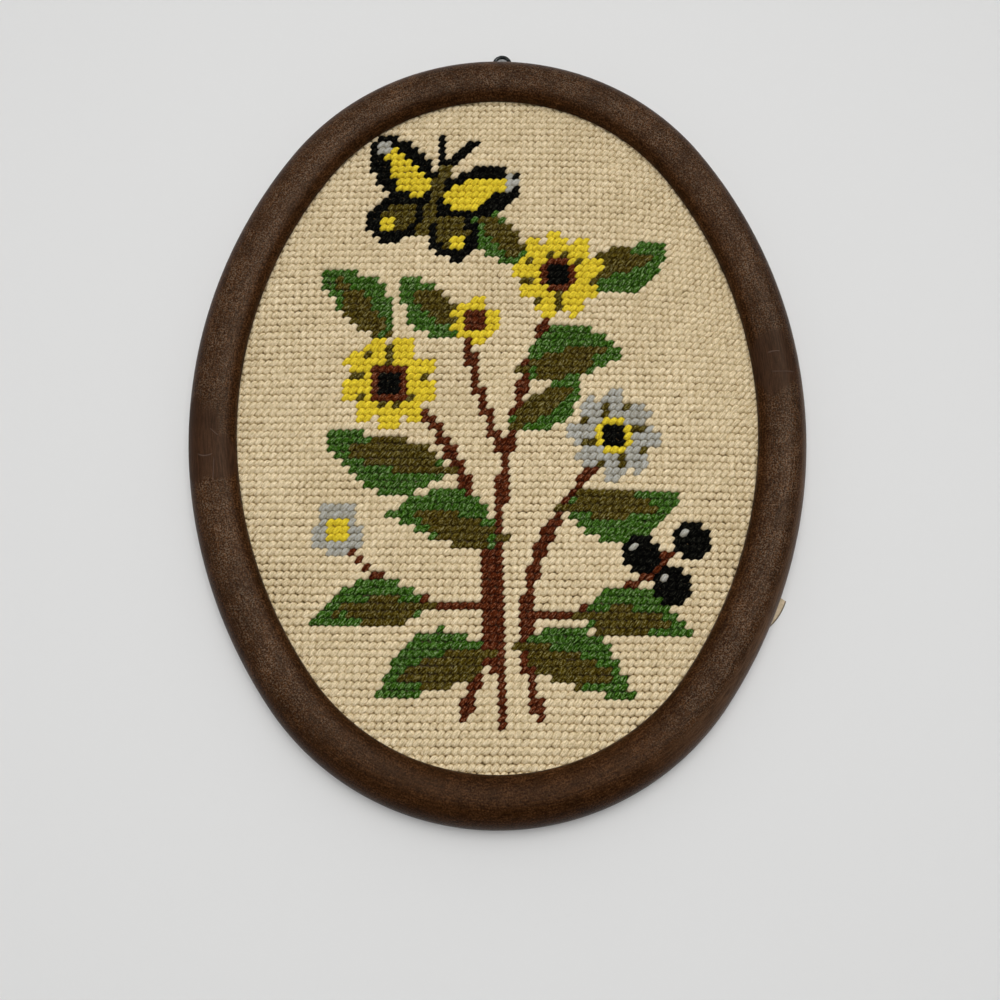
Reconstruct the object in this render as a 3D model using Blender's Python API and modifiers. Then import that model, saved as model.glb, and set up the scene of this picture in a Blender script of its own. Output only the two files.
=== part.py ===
"""Needlepoint picture in a moulded oval frame, lying on its back with the stitches up.

Metres, +Z up, +Y towards the top of the picture. The pieces are built round the middle
of the oval, and an empty carries them so that the whole thing, hanging loop included,
is centred over the origin with the foot of the frame on z = 0.
"""
import math

import bmesh
import bpy
from mathutils import Matrix, Vector

# The oval is drawn as frame makers draw it, with four arcs: two ends and two flatter sides.
HALF_WIDTH = 0.1034
HALF_LENGTH = 0.1333
END_RADIUS = 0.0892
END_CENTRE = HALF_LENGTH - END_RADIUS
SIDE_RADIUS = (HALF_WIDTH**2 + END_CENTRE**2 - END_RADIUS**2) / (2 * (HALF_WIDTH - END_RADIUS))
SIDE_CENTRE = SIDE_RADIUS - HALF_WIDTH
JOIN_ANGLE = math.atan2(END_CENTRE, SIDE_CENTRE)
END_STEPS = 28
SIDE_STEPS = 22

# Section of the moulded rail, measured inwards from the outer wall and up from the table.
RAIL_WIDTH = 0.0168
RAIL_HEIGHT = 0.0130
OUTER_WALL_HEIGHT = 0.0030
LIP_TOP = 0.0083
LIP_UNDERSIDE = 0.0073
REBATE_INSET = 0.0116
FOOT_CHAMFER = 0.0004
QUARTER_STEPS = 6

GAP = 0.0003

# The stitched sheet, trapped under the lip and rising a little towards its middle.
SHEET_THICKNESS = 0.0024
SHEET_TOP = LIP_UNDERSIDE - GAP
SHEET_INSET = REBATE_INSET + 0.0006
SHEET_RISE = 0.0018
SHEET_DOME_POWER = 3.5
SHEET_UNEVENNESS = 0.00012
SHEET_RINGS = (0.935, 0.87, 0.78, 0.66, 0.52, 0.36, 0.19)

# The board behind it.
BOARD_THICKNESS = 0.0020
BOARD_TOP = SHEET_TOP - SHEET_THICKNESS - GAP

# The wire loop that the picture hangs by, set into a notch in the back edge.
WIRE_RADIUS = 0.00065
LOOP_BEND_RADIUS = 0.00285
LOOP_X = 0.0021
LOOP_Z = 0.0016
LOOP_REACH = 0.0060
LOOP_BEND_STEPS = 12
LEG_LENGTH = 0.0092
LEG_HOLE_DEPTH = 0.0085
NOTCH_WIDTH = 0.0100
NOTCH_DEPTH = 0.0024
NOTCH_HEIGHT = 0.0032

# The strip of gummed paper across the back, whose end sticks out at the lower right.
TAPE_WIDTH = 0.0120
TAPE_THICKNESS = 0.0004
TAPE_LIFT = 0.0001
TAPE_LENGTH = 0.0270
TAPE_ANGLE = math.radians(-33.7)
TAPE_END = Vector((0.0907, -0.0675, 0.0))
TAPE_STEP_START = 0.0162
TAPE_STEP_END = 0.0190
GROOVE_OVERRUN = 0.0040


def oval_arcs():
    """Centre, radius, start angle, sweep and steps of the four arcs, anticlockwise."""
    end_sweep = math.pi - 2 * JOIN_ANGLE
    side_sweep = 2 * JOIN_ANGLE
    return [
        (Vector((0, END_CENTRE, 0)), END_RADIUS, JOIN_ANGLE, end_sweep, END_STEPS),
        (Vector((SIDE_CENTRE, 0, 0)), SIDE_RADIUS, math.pi - JOIN_ANGLE, side_sweep, SIDE_STEPS),
        (Vector((0, -END_CENTRE, 0)), END_RADIUS, math.pi + JOIN_ANGLE, end_sweep, END_STEPS),
        (Vector((-SIDE_CENTRE, 0, 0)), SIDE_RADIUS, -JOIN_ANGLE, side_sweep, SIDE_STEPS),
    ]


def oval_outline(inset):
    """Points of the oval that lies this far inside the frame's outer wall."""
    points = []
    for centre, radius, start, sweep, steps in oval_arcs():
        for step in range(steps):
            angle = start + sweep * step / steps
            outward = Vector((math.cos(angle), math.sin(angle), 0))
            points.append(centre + outward * (radius - inset))
    return points


def principled(name, colour, roughness, metallic=0.0):
    material = bpy.data.materials.new(name)
    material.use_nodes = True
    shader = material.node_tree.nodes["Principled BSDF"]
    shader.inputs["Base Color"].default_value = (*colour, 1.0)
    shader.inputs["Roughness"].default_value = roughness
    shader.inputs["Metallic"].default_value = metallic
    return material


def add_object(name, data, material, collection, parent):
    piece = bpy.data.objects.new(name, data)
    collection.objects.link(piece)
    piece.parent = parent
    if material:
        data.materials.append(material)
    return piece


def rail_section():
    """The rail's closed section as (inset, height) pairs, from the foot up and over."""
    crest = RAIL_WIDTH / 2
    section = [(FOOT_CHAMFER, 0.0), (0.0, FOOT_CHAMFER)]
    for step in range(QUARTER_STEPS + 1):
        angle = math.pi / 2 * step / QUARTER_STEPS
        rise = (RAIL_HEIGHT - OUTER_WALL_HEIGHT) * math.sin(angle)
        section.append((crest * (1 - math.cos(angle)), OUTER_WALL_HEIGHT + rise))
    for step in range(1, QUARTER_STEPS + 1):
        angle = math.pi / 2 * step / QUARTER_STEPS
        rise = (RAIL_HEIGHT - LIP_TOP) * math.cos(angle)
        section.append((crest * (1 + math.sin(angle)), LIP_TOP + rise))
    section += [(RAIL_WIDTH, LIP_UNDERSIDE), (REBATE_INSET, LIP_UNDERSIDE), (REBATE_INSET, 0.0)]
    return section


def build_frame(collection, cutters, parent):
    """The rail's section swept round the four arcs, one spin for each arc."""
    mesh = bpy.data.meshes.new("frame")
    bm = bmesh.new()
    arcs = oval_arcs()
    centre, radius, start, _, _ = arcs[0]
    outward = Vector((math.cos(start), math.sin(start), 0))
    corners = [
        bm.verts.new(centre + outward * (radius - inset) + Vector((0, 0, height)))
        for inset, height in rail_section()
    ]
    edges = [bm.edges.new(pair) for pair in zip(corners, corners[1:] + corners[:1])]
    geometry = corners + edges
    for centre, _, _, sweep, steps in arcs:
        result = bmesh.ops.spin(
            bm, geom=geometry, cent=centre, axis=(0, 0, 1), dvec=(0, 0, 0),
            angle=sweep, steps=steps, use_merge=False, use_duplicate=False,
        )
        geometry = result["geom_last"]
    bmesh.ops.remove_doubles(bm, verts=bm.verts, dist=0.00001)
    bmesh.ops.recalc_face_normals(bm, faces=bm.faces)
    bm.to_mesh(mesh)
    bm.free()
    mesh.shade_smooth()
    mesh.set_sharp_from_angle(angle=math.radians(40))
    brown = principled("brown_moulding", (0.052, 0.028, 0.019), 0.42)
    frame = add_object("frame", mesh, brown, collection, parent)

    notch = box_cutter(
        "notch_cutter", (NOTCH_WIDTH, 2 * NOTCH_DEPTH, 2 * NOTCH_HEIGHT),
        Matrix.Translation((LOOP_X, HALF_LENGTH, 0)), cutters, parent,
    )
    # A shallow groove lets the foot stand flat with the paper strip under it.
    along = Matrix.Translation(TAPE_END) @ Matrix.Rotation(TAPE_ANGLE, 4, "Z")
    groove = box_cutter(
        "tape_groove_cutter",
        (TAPE_LENGTH, TAPE_WIDTH + 2 * GAP, 2 * (TAPE_LIFT + TAPE_THICKNESS + GAP)),
        along @ Matrix.Translation((GROOVE_OVERRUN - TAPE_LENGTH / 2, 0, 0)), cutters, parent,
    )
    legs = [leg_hole_cutter(side, cutters, parent) for side in (-1, 1)]
    for cutter in [notch, groove] + legs:
        cut = frame.modifiers.new(cutter.name, "BOOLEAN")
        cut.operation = "DIFFERENCE"
        cut.solver = "EXACT"
        cut.object = cutter
    return frame


def box_cutter(name, size, matrix, cutters, parent):
    mesh = bpy.data.meshes.new(name)
    bm = bmesh.new()
    bmesh.ops.create_cube(bm, size=1.0)
    bmesh.ops.scale(bm, vec=size, verts=bm.verts)
    bmesh.ops.transform(bm, matrix=matrix, verts=bm.verts)
    bm.to_mesh(mesh)
    bm.free()
    return mark_cutter(add_object(name, mesh, None, cutters, parent))


def leg_hole_cutter(side, cutters, parent):
    """A round blind hole for one leg of the wire loop, with clearance all round."""
    mesh = bpy.data.meshes.new("leg_hole_cutter")
    bm = bmesh.new()
    bore = WIRE_RADIUS + GAP
    bmesh.ops.create_cone(
        bm, cap_ends=True, segments=12, radius1=bore, radius2=bore, depth=LEG_HOLE_DEPTH,
    )
    bmesh.ops.rotate(bm, verts=bm.verts, matrix=Matrix.Rotation(math.pi / 2, 3, "X"))
    x = LOOP_X + side * LOOP_BEND_RADIUS
    bmesh.ops.translate(bm, verts=bm.verts, vec=(x, HALF_LENGTH - LEG_HOLE_DEPTH / 2, LOOP_Z))
    bm.to_mesh(mesh)
    bm.free()
    return mark_cutter(add_object("leg_hole_cutter", mesh, None, cutters, parent))


def mark_cutter(cutter):
    cutter.hide_render = True
    cutter.display_type = "WIRE"
    return cutter


def sheet_height(x, y, ring):
    """Top of the sheet: flat under the lip, then a low uneven dome."""
    flat_from = SHEET_RINGS[0]
    if ring >= flat_from:
        return SHEET_TOP
    dome = 1 - (ring / flat_from) ** SHEET_DOME_POWER
    ripple = math.sin(41 * x + 0.6) * math.cos(33 * y - 0.4) + 0.6 * math.sin(67 * y + 52 * x)
    return SHEET_TOP + SHEET_RISE * dome + SHEET_UNEVENNESS * ripple * dome


def build_needlepoint(collection, parent):
    """One sheet: rings drawn inwards from its edge, then given its thickness downwards."""
    mesh = bpy.data.meshes.new("needlepoint")
    bm = bmesh.new()
    rim = [bm.verts.new(point + Vector((0, 0, SHEET_TOP))) for point in oval_outline(SHEET_INSET)]
    loop = [bm.edges.new(pair) for pair in zip(rim, rim[1:] + rim[:1])]
    previous = 1.0
    for ring in SHEET_RINGS:
        result = bmesh.ops.extrude_edge_only(bm, edges=loop)
        verts = [item for item in result["geom"] if isinstance(item, bmesh.types.BMVert)]
        loop = [
            item for item in result["geom"]
            if isinstance(item, bmesh.types.BMEdge) and item.is_boundary
        ]
        shrink = ring / previous
        bmesh.ops.scale(bm, vec=(shrink, shrink, 1), verts=verts)
        for vert in verts:
            vert.co.z = sheet_height(vert.co.x, vert.co.y, ring)
        previous = ring
    middle = bmesh.ops.extrude_edge_only(bm, edges=loop)
    verts = [item for item in middle["geom"] if isinstance(item, bmesh.types.BMVert)]
    centre = Vector((0, 0, sheet_height(0, 0, 0)))
    bmesh.ops.pointmerge(bm, verts=verts, merge_co=centre)
    bmesh.ops.recalc_face_normals(bm, faces=bm.faces)
    if sum(face.normal.z for face in bm.faces) < 0:
        bmesh.ops.reverse_faces(bm, faces=bm.faces)
    bm.to_mesh(mesh)
    bm.free()
    mesh.shade_smooth()
    cream = principled("wool_stitches", (0.62, 0.50, 0.34), 0.9)
    sheet = add_object("needlepoint", mesh, cream, collection, parent)
    solidify = sheet.modifiers.new("thickness", "SOLIDIFY")
    solidify.thickness = SHEET_THICKNESS
    solidify.offset = -1.0
    return sheet


def build_backing_board(collection, parent):
    """A flat oval board that presses the sheet up against the lip."""
    curve = bpy.data.curves.new("backing_board", "CURVE")
    curve.dimensions = "2D"
    curve.fill_mode = "BOTH"
    curve.extrude = BOARD_THICKNESS / 2
    outline = oval_outline(SHEET_INSET)
    spline = curve.splines.new("POLY")
    spline.points.add(len(outline) - 1)
    for point, place in zip(spline.points, outline):
        point.co = (place.x, place.y, 0, 1)
    spline.use_cyclic_u = True
    card = principled("backing_card", (0.30, 0.20, 0.12), 0.85)
    board = add_object("backing_board", curve, card, collection, parent)
    board.location.z = BOARD_TOP - BOARD_THICKNESS / 2
    return board


def build_hanging_loop(collection, parent):
    """A wire hairpin: two straight legs joined by a half circle."""
    bend_y = HALF_LENGTH + LOOP_REACH - WIRE_RADIUS - LOOP_BEND_RADIUS
    route = [Vector((LOOP_BEND_RADIUS, bend_y - LEG_LENGTH, 0))]
    for step in range(LOOP_BEND_STEPS + 1):
        angle = math.pi * step / LOOP_BEND_STEPS
        across = LOOP_BEND_RADIUS * math.cos(angle)
        route.append(Vector((across, bend_y + LOOP_BEND_RADIUS * math.sin(angle), 0)))
    route.append(Vector((-LOOP_BEND_RADIUS, bend_y - LEG_LENGTH, 0)))
    curve = bpy.data.curves.new("hanging_loop", "CURVE")
    curve.dimensions = "3D"
    curve.bevel_depth = WIRE_RADIUS
    curve.bevel_resolution = 2
    curve.use_fill_caps = True
    spline = curve.splines.new("POLY")
    spline.points.add(len(route) - 1)
    for point, place in zip(spline.points, route):
        point.co = (*place, 1)
    black = principled("black_wire", (0.012, 0.016, 0.015), 0.35, 0.6)
    loop = add_object("hanging_loop", curve, black, collection, parent)
    loop.location = (LOOP_X, 0, LOOP_Z)
    return loop


def build_paper_tape(collection, parent):
    """A strip that lies under the foot, then steps up onto the back of the board."""
    board_back = BOARD_TOP - BOARD_THICKNESS
    low = TAPE_LIFT
    high = board_back - GAP - TAPE_THICKNESS
    underside = [(0.0, low), (-TAPE_STEP_START, low), (-TAPE_STEP_END, high), (-TAPE_LENGTH, high)]
    mesh = bpy.data.meshes.new("paper_tape")
    bm = bmesh.new()
    half = TAPE_WIDTH / 2
    verts = [bm.verts.new((along, -half, height)) for along, height in underside]
    edges = [bm.edges.new(pair) for pair in zip(verts, verts[1:])]
    across = bmesh.ops.extrude_edge_only(bm, edges=edges)
    moved = [item for item in across["geom"] if isinstance(item, bmesh.types.BMVert)]
    bmesh.ops.translate(bm, verts=moved, vec=(0, TAPE_WIDTH, 0))
    upward = bmesh.ops.extrude_face_region(bm, geom=bm.faces[:])
    moved = [item for item in upward["geom"] if isinstance(item, bmesh.types.BMVert)]
    bmesh.ops.translate(bm, verts=moved, vec=(0, 0, TAPE_THICKNESS))
    bmesh.ops.recalc_face_normals(bm, faces=bm.faces)
    bm.to_mesh(mesh)
    bm.free()
    tan = principled("gummed_paper", (0.45, 0.33, 0.20), 0.8)
    tape = add_object("paper_tape", mesh, tan, collection, parent)
    tape.location = TAPE_END
    tape.rotation_euler.z = TAPE_ANGLE
    return tape


def main():
    for item in list(bpy.data.objects):
        bpy.data.objects.remove(item, do_unlink=True)
    picture = bpy.data.collections.new("needlepoint_picture")
    cutters = bpy.data.collections.new("cutters")
    for collection in (picture, cutters):
        bpy.context.scene.collection.children.link(collection)
    middle = bpy.data.objects.new("oval_middle", None)
    middle.location.y = -LOOP_REACH / 2
    picture.objects.link(middle)

    build_frame(picture, cutters, middle)
    build_needlepoint(picture, middle)
    build_backing_board(picture, middle)
    build_hanging_loop(picture, middle)
    build_paper_tape(picture, middle)


main()
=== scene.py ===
# %% [markdown]
# # A needlepoint picture in an oval frame
# The picture lies on its back on a pale table. A dark brown moulded rail runs round a
# canvas that is covered, stitch by stitch, in wool. The CAD model already gives the real
# size and the place of each piece, so this lesson dresses those pieces: it makes the
# rail smooth and worn, works every stitch as a small bead of yarn, and gives the back
# its card, wire and paper.

# %% Load the model that everything is fitted to
import math

import bmesh
import bpy
import numpy as np
from mathutils import Matrix, Vector


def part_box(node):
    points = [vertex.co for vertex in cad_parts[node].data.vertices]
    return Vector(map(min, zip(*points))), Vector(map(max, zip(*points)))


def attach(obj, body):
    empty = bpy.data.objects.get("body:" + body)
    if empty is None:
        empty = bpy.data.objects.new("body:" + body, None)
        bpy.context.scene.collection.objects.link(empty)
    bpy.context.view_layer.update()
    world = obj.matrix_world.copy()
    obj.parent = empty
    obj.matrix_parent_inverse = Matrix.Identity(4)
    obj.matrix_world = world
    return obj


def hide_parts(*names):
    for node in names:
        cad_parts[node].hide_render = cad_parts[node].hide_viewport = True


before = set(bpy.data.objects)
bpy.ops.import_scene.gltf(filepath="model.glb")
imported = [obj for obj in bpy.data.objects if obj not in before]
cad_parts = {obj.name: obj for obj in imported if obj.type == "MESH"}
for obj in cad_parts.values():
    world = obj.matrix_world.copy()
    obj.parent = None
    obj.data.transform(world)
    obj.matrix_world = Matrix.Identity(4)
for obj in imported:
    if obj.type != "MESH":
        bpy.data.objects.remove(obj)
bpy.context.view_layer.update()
MM = 0.001
print("pieces in the model:", ", ".join(sorted(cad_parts)))

# %% [markdown]
# ## The oval
# Frame makers draw an oval with four arcs: two round ends and two flatter sides that
# meet without a corner. Every line in this picture follows that oval at some inset from
# the outer wall, so it is worth having the arcs once, with the same radii as the model.
# The two half sizes are read from the model, and only the end radius is a choice.

# %% The four arcs
rail_low, rail_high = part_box("frame")
MIDDLE = (rail_low + rail_high) / 2
HALF_WIDTH = (rail_high.x - rail_low.x) / 2
HALF_LENGTH = (rail_high.y - rail_low.y) / 2
END_RADIUS = 89.2 * MM
END_CENTRE = HALF_LENGTH - END_RADIUS
SIDE_RADIUS = (HALF_WIDTH**2 + END_CENTRE**2 - END_RADIUS**2) / (2 * (HALF_WIDTH - END_RADIUS))
SIDE_CENTRE = SIDE_RADIUS - HALF_WIDTH
JOIN_ANGLE = math.atan2(END_CENTRE, SIDE_CENTRE)
print(f"oval {2 * HALF_WIDTH / MM:.1f} by {2 * HALF_LENGTH / MM:.1f} mm")
print(f"side radius {SIDE_RADIUS / MM:.1f} mm")


def oval_arcs(end_steps, side_steps):
    """Centre, start angle, sweep, radius and steps of each arc, anticlockwise."""
    end_sweep, side_sweep = math.pi - 2 * JOIN_ANGLE, 2 * JOIN_ANGLE
    across, along = Vector((SIDE_CENTRE, 0, 0)), Vector((0, END_CENTRE, 0))
    flat = Vector((MIDDLE.x, MIDDLE.y, 0))
    return [
        (flat + along, JOIN_ANGLE, end_sweep, END_RADIUS, end_steps),
        (flat + across, math.pi - JOIN_ANGLE, side_sweep, SIDE_RADIUS, side_steps),
        (flat - along, math.pi + JOIN_ANGLE, end_sweep, END_RADIUS, end_steps),
        (flat - across, -JOIN_ANGLE, side_sweep, SIDE_RADIUS, side_steps),
    ]


def oval_outline(inset, end_steps, side_steps):
    """Places round the oval that lies this far inside the outer wall."""
    places = []
    for centre, start, sweep, radius, steps in oval_arcs(end_steps, side_steps):
        for step in range(steps):
            angle = start + sweep * step / steps
            places.append(centre + (radius - inset) * Vector((math.cos(angle), math.sin(angle), 0)))
    return places


def inset_of(x, y):
    """How far inside the outer wall each place lies, for arrays of places."""
    x, y = np.abs(x - MIDDLE.x), np.abs(y - MIDDLE.y)
    at_end = np.arctan2(y - END_CENTRE, x) >= JOIN_ANGLE
    from_end = END_RADIUS - np.hypot(x, y - END_CENTRE)
    from_side = SIDE_RADIUS - np.hypot(x + SIDE_CENTRE, y)
    return np.where(at_end, from_end, from_side)


# %% [markdown]
# ## Camera, table and light
# The picture is seen from above and a little from its lower end, so the camera leans
# back by about twelve degrees from straight down. The light is soft daylight: a wide
# glow close above the table and a large window beyond the top of the picture. Neither
# shows in the plastic, because lamps that wide would lay a grey veil over the whole rail.
# Two smaller panels give the rail its highlights instead. They are seen in reflections
# only, and light nothing.

# %% Camera
scene = bpy.context.scene
CAMERA_HEIGHT = 326.4 * MM
CAMERA_BACK = 100.5 * MM
CAMERA_RIGHT = 0.5 * MM
CAMERA_TILT = math.radians(12.5)
CAMERA_ROLL = math.radians(-0.2)
LENS = 36
SENSOR_WIDTH = 36
camera = bpy.data.objects.new("camera", bpy.data.cameras.new("camera"))
camera.data.lens = LENS
camera.data.sensor_width = SENSOR_WIDTH
camera.location = (MIDDLE.x + CAMERA_RIGHT, MIDDLE.y - CAMERA_BACK, CAMERA_HEIGHT)
lean = Matrix.Rotation(CAMERA_ROLL, 3, "Z") @ Matrix.Rotation(CAMERA_TILT, 3, "X")
camera.rotation_euler = lean.to_euler()
scene.collection.objects.link(camera)
scene.camera = camera
scene.view_settings.view_transform = "Standard"
print("camera at", [round(c, 4) for c in camera.location])


# %% Objects and plain materials
def new_material(name, colour, roughness, specular=0.5):
    """A material whose shader has these fixed values."""
    material = bpy.data.materials.new(name)
    material.use_nodes = True
    shader = material.node_tree.nodes["Principled BSDF"]
    shader.inputs["Base Color"].default_value = (*colour, 1)
    shader.inputs["Roughness"].default_value = roughness
    shader.inputs["Specular IOR Level"].default_value = specular
    return material


def add_object(name, mesh, *materials):
    """Puts a mesh in the scene as an object with these materials."""
    piece = bpy.data.objects.new(name, mesh)
    scene.collection.objects.link(piece)
    for material in materials:
        mesh.materials.append(material)
    return piece


def finish_mesh(name, bm, *materials):
    """Turns a bmesh into a smooth-shaded object at the origin."""
    mesh = bpy.data.meshes.new(name)
    bm.to_mesh(mesh)
    bm.free()
    mesh.shade_smooth()
    return add_object(name, mesh, *materials)


def dress(piece, node):
    """Hangs a finished piece on the root body and hides the model's plain solid that it stands for."""
    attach(piece, "root")
    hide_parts(node)
    print(f"{piece.name}: {len(piece.data.polygons)} faces")


# %% Table
TABLE_COLOUR = (0.80, 0.80, 0.80)
TABLE_HALF_SIZE = 2.0
bm = bmesh.new()
bmesh.ops.create_grid(bm, x_segments=1, y_segments=1, size=TABLE_HALF_SIZE)
table = finish_mesh("table", bm, new_material("pale_table", TABLE_COLOUR, 0.9, 0.0))
print("table:", 2 * TABLE_HALF_SIZE, "m wide")

# %% Lights
DAYLIGHT = (1.0, 0.995, 0.98)
PANEL_WHITE = (1.0, 1.0, 1.0)


def area_light(name, place, size, power, colour, in_diffuse=True, in_gloss=True):
    """A square soft light that faces the middle of the picture.

    Without in_diffuse it only shows in reflections, and without in_gloss it never does.
    """
    light = bpy.data.lights.new(name, "AREA")
    light.size = size
    light.energy = power
    light.color = colour
    lamp = bpy.data.objects.new(name, light)
    lamp.location = place
    lamp.rotation_euler = (-Vector(place)).to_track_quat("-Z", "Y").to_euler()
    lamp.visible_diffuse = in_diffuse
    lamp.visible_glossy = in_gloss
    scene.collection.objects.link(lamp)
    print(f"{name}: {power} W, {size} m wide")
    return lamp


area_light("ceiling", (0.0, 0.03, 0.80), 0.64, 2.85, DAYLIGHT, in_gloss=False)
area_light("window", (0.5, 2.5, 7.0), 6.4, 212, DAYLIGHT, in_gloss=False)
area_light("right_panel", (1.5, 1.0, 3.5), 1.4, 260, PANEL_WHITE, in_diffuse=False)
area_light("left_panel", (-1.7, 0.4, 3.5), 1.4, 70, PANEL_WHITE, in_diffuse=False)

# %% [markdown]
# ## Node helpers
# Every finish here is built from a few kinds of shader node. Wiring them by hand fills a
# script with noise, so small helpers add a node and link its sockets in one call.
# Patterns read Object coordinates, which are in metres, so a noise scale of 1000 gives
# marks about a millimetre across on every piece.

# %% Helpers for numbers and vectors
def add_node(material, kind, inputs=(), **settings):
    """Adds a node. Each input is a fixed value or another node's output socket."""
    node = material.node_tree.nodes.new(kind)
    for key, value in settings.items():
        setattr(node, key, value)
    for socket, value in dict(inputs).items():
        if isinstance(value, bpy.types.NodeSocket):
            material.node_tree.links.new(value, node.inputs[socket])
        else:
            node.inputs[socket].default_value = value
    return node


def calculate(material, operation, *values):
    """One Math node over numbers or sockets."""
    return add_node(material, "ShaderNodeMath", enumerate(values), operation=operation).outputs["Value"]


def product(material, first, *others):
    """Multiplies any count of numbers or sockets."""
    for other in others:
        first = calculate(material, "MULTIPLY", first, other)
    return first


def vector_math(material, operation, *values, output="Vector"):
    """One Vector Math node. A length or a dot product comes out at Value."""
    node = add_node(material, "ShaderNodeVectorMath", enumerate(values), operation=operation)
    return node.outputs[output]


def spread(material, value, low, high, new_low=0.0, new_high=1.0):
    """Stretches a value from one range to another, clamped and eased at both ends."""
    node = add_node(
        material, "ShaderNodeMapRange",
        {"Value": value, "From Min": low, "From Max": high, "To Min": new_low, "To Max": new_high},
        interpolation_type="SMOOTHSTEP",
    )
    return node.outputs["Result"]


# %% Helpers for patterns, colours and relief
def object_place(material):
    return add_node(material, "ShaderNodeTexCoord").outputs["Object"]


def noise(material, vector, scale, detail=2.0, roughness=0.5):
    node = add_node(
        material, "ShaderNodeTexNoise",
        {"Vector": vector, "Scale": scale, "Detail": detail, "Roughness": roughness},
    )
    return node.outputs["Fac"]


def blend_colours(material, factor, first, second, blend="MIX"):
    """Mixes two colours, each a socket or three numbers."""
    first, second = (c if isinstance(c, bpy.types.NodeSocket) else (*c, 1) for c in (first, second))
    node = add_node(
        material, "ShaderNodeMix", {0: factor, 6: first, 7: second}, data_type="RGBA", blend_type=blend,
    )
    return node.outputs[2]


def lay_over(material, colour, mask, strength, new_colour):
    """Covers a colour with another one where the mask says, by this share at most."""
    return blend_colours(material, product(material, mask, strength), colour, new_colour)


def scale_colour(material, colour, red, green, blue):
    """Multiplies the three channels of a colour by numbers or sockets."""
    scales = add_node(material, "ShaderNodeCombineColor", enumerate((red, green, blue))).outputs["Color"]
    return blend_colours(material, 1.0, colour, scales, "MULTIPLY")


def bump(material, height, strength, distance):
    inputs = {"Height": height, "Strength": strength, "Distance": distance}
    return add_node(material, "ShaderNodeBump", inputs).outputs["Normal"]


def shade_with(material, **sockets):
    """Links outputs to the shader's inputs, by input name with underscores for spaces."""
    shader = material.node_tree.nodes["Principled BSDF"]
    for name, socket in sockets.items():
        material.node_tree.links.new(socket, shader.inputs[name.replace("_", " ")])
    print(f"{material.name}: {len(material.node_tree.nodes)} nodes")


# %% [markdown]
# ## The room
# Light also comes from the walls and the ceiling, and the plastic mirrors them. An even
# grey world would lay the same veil over every slope of the rail. So this one is dark
# overhead, a little to the viewer's side, and brighter low down towards the window.
# Generated coordinates give the direction of each ray here, and a dot product says how
# near it is to a chosen direction.

# %% Room light
ROOM_COLOUR = (0.98, 0.99, 1.0, 1)
OVER_VIEWER = (0.0, -0.45, 0.89)
world = bpy.data.worlds.new("room")
world.use_nodes = True
scene.world = world
background = world.node_tree.nodes["Background"]
background.inputs["Color"].default_value = ROOM_COLOUR
facing = add_node(world, "ShaderNodeTexCoord").outputs["Generated"]
overhead = vector_math(world, "DOT_PRODUCT", facing, OVER_VIEWER, output="Value")
towards_window = add_node(world, "ShaderNodeSeparateXYZ", {"Vector": facing}).outputs["Y"]
walls = spread(world, overhead, 0.50, 0.95, 0.33, 0.04)
window_glow = spread(world, towards_window, 0.3, 0.95, 0.0, 0.32)
world.node_tree.links.new(calculate(world, "ADD", walls, window_glow), background.inputs["Strength"])
print("room light:", len(world.node_tree.nodes), "nodes")

# %% [markdown]
# ## The rail's finish
# The rail is brown plastic with a fine, slightly leathery skin. It is built up in layers:
# pale specks that stand in clumps, dark pits between them, a painted highlight along the
# crest, patches that hands have rubbed smooth, faint streaks along the rail, a painted
# sheen on the outer edge at the lower right, and a few thin marks that the mould left.
# Most layers are a mask that lays a new colour over the last one, and the streaks only
# make it lighter or darker. The gloss is weak and brown, as on a dull moulding, so that
# steep slopes stay dark.

# %% Rail colours and gloss
RAIL_BROWN = (0.0275, 0.0098, 0.0024)
RAIL_DARK = (0.0075, 0.0022, 0.0005)
RAIL_PALE = (0.1000, 0.0440, 0.0175)
CREST_HIGHLIGHT = (0.195, 0.142, 0.098)
RAIL_RUBBED = (0.058, 0.031, 0.020)
EDGE_SHEEN = (0.100, 0.054, 0.030)
MARK_PALE = (0.13, 0.085, 0.066)
RAIL_ROUGHNESS = 0.34
RUBBED_ROUGHNESS = 0.50
RAIL_SPECULAR = 0.04
GLOSS_TINT = (1.0, 0.74, 0.54, 1)
rail_skin = new_material("rail_plastic", RAIL_BROWN, RAIL_ROUGHNESS, RAIL_SPECULAR)
rail_skin.node_tree.nodes["Principled BSDF"].inputs["Specular Tint"].default_value = GLOSS_TINT
place = object_place(rail_skin)
print("rail brown:", RAIL_BROWN)

# %% [markdown]
# ### Where the skin is rubbed
# Halfway up each side the grain has gone. An ellipsoid marks each patch, and a noise
# pushes the coordinates about first, so that its outline comes out ragged. A noise
# averages a half, so the push also moves the patches, and their centres make up for it.

# %% Rubbed patches
RAGGED = 10.0 * MM
RUBBED_PATCHES = (
    ((-97.0, -13.5, 10.0), (9.5, 16.5, 9.0)),
    ((-91.0, -19.0, 11.0), (8.0, 8.0, 9.0)),
    ((92.0, 11.5, 11.0), (8.5, 13.5, 9.0)),
)


def rubbed_patch(material, place, centre, half_size):
    """1 in the middle of a rubbed patch and 0 outside it."""
    moved = add_node(
        material, "ShaderNodeMapping",
        {"Vector": place, "Location": centre, "Scale": half_size}, vector_type="TEXTURE",
    ).outputs["Vector"]
    return spread(material, vector_math(material, "LENGTH", moved, output="Value"), 1.0, 0.72)


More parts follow.
